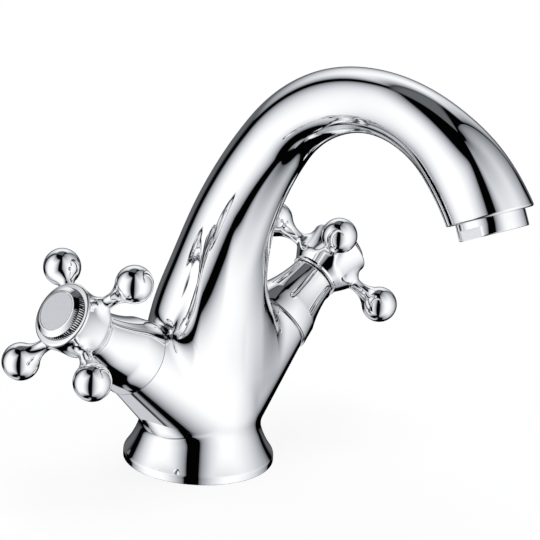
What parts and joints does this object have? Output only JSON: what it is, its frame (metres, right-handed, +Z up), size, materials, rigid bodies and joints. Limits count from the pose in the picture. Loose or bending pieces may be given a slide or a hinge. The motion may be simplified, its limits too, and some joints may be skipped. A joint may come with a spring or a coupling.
{
  "type": "basin mixer",
  "caption": "Chromed single-hole basin mixer with an arched spout and two cross handles on quarter-turn valves, with an aerator in the mouth.",
  "frame": {"origin": "middle of the foot on the deck", "axes": "+Z up from the deck, -Y towards the user along the spout, +X towards the cold valve"},
  "size_m": [0.1492, 0.1596, 0.1527],
  "materials": {
    "chrome": "bright chrome plate on cast brass",
    "satin": "satin metal inlay",
    "brass": "machined brass",
    "steel": "plain stainless steel",
    "rubber": "black rubber",
    "ceramic": "lapped white ceramic",
    "nylon": "natural nylon",
    "grey_plastic": "moulded grey plastic"
  },
  "bodies": {
    "mixer_body": {"body_casting": "chrome", "base_seal": "rubber", "aerator_washer": "rubber", "aerator_housing": "chrome", "aerator_cage": "nylon", "aerator_flow_disc": "nylon", "aerator_screen": "grey_plastic", "hot_headwork": "brass", "hot_boss_o_ring": "rubber", "hot_seat_seal": "rubber", "hot_fixed_disc": "ceramic", "hot_shroud": "chrome", "cold_headwork": "brass", "cold_boss_o_ring": "rubber", "cold_seat_seal": "rubber", "cold_fixed_disc": "ceramic", "cold_shroud": "chrome"},
    "hot_control": {"hot_moving_disc": "ceramic", "hot_spindle": "brass", "hot_thrust_washer": "nylon", "hot_circlip": "steel", "hot_spline_bush": "nylon", "hot_lower_o_ring": "rubber", "hot_upper_o_ring": "rubber", "hot_cross_handle": "chrome", "hot_handle_screw": "steel", "hot_button_ring": "chrome", "hot_index_disc": "satin"},
    "cold_control": {"cold_moving_disc": "ceramic", "cold_spindle": "brass", "cold_thrust_washer": "nylon", "cold_circlip": "steel", "cold_spline_bush": "nylon", "cold_lower_o_ring": "rubber", "cold_upper_o_ring": "rubber", "cold_cross_handle": "chrome", "cold_handle_screw": "steel", "cold_button_ring": "chrome", "cold_index_disc": "satin"}
  },
  "joints": [
    {"name": "hot_handle_turn", "type": "hinge", "parent": "mixer_body", "child": "hot_control", "pos_m": [0, -0.001, 0.0214], "axis": [-0.8241, 0, 0.5664], "range_deg": [0, 90]},
    {"name": "cold_handle_turn", "type": "hinge", "parent": "mixer_body", "child": "cold_control", "pos_m": [0, -0.001, 0.0214], "axis": [-0.8241, 0, -0.5664], "range_deg": [0, 90]}
  ]
}
